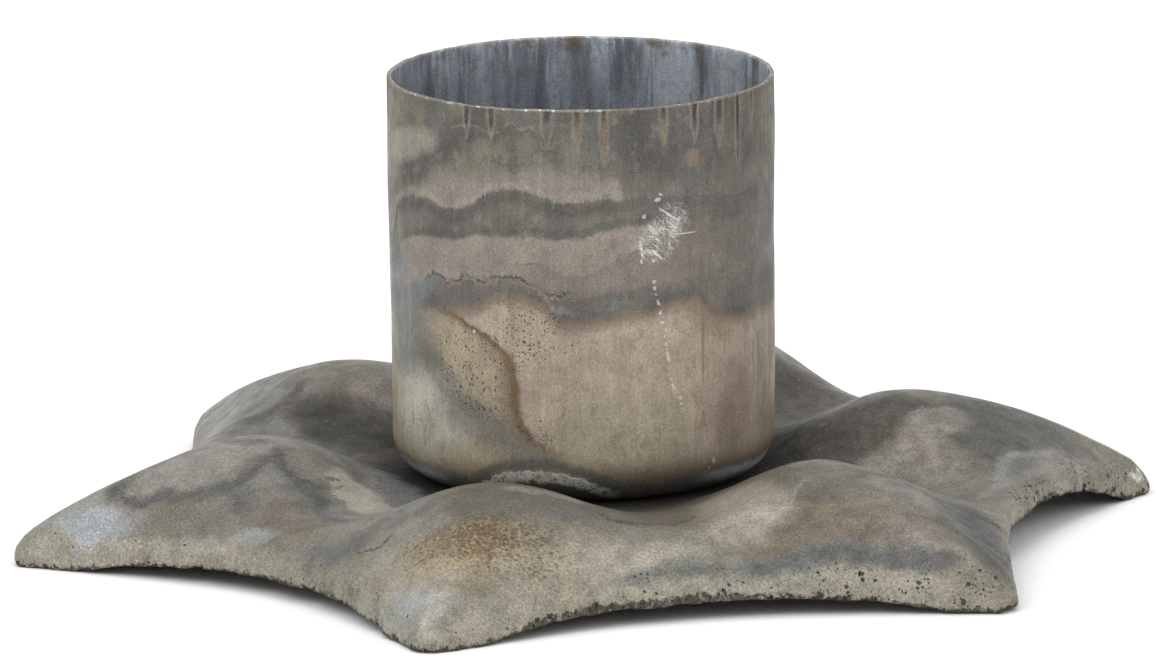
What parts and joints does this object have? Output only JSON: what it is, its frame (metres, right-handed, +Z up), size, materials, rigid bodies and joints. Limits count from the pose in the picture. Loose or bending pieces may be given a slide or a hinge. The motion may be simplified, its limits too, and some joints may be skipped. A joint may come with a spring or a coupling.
{
  "type": "taper candle holder",
  "caption": "Low candle holder: a plain drawn metal cup riveted into the dish of a puffed, star-shaped plate that stands on its tips.",
  "frame": {"origin": "on the table under the axis of the candle cup", "axes": "+Z up along the cup's axis, +X along one point of the star"},
  "size_m": [0.0724, 0.0639, 0.0288],
  "materials": {
    "star_metal": "dull grey-brown patina, sandy grain, pitted edges",
    "cup_metal": "satin grey-brown patina with tide bands, drips and scratches",
    "rivet_metal": "dull aged grey",
    "washer_metal": "dull aged grey"
  },
  "bodies": {
    "root": {"star_base": "star_metal", "candle_cup": "cup_metal", "centre_rivet": "rivet_metal", "rivet_washer": "washer_metal"}
  },
  "joints": []
}
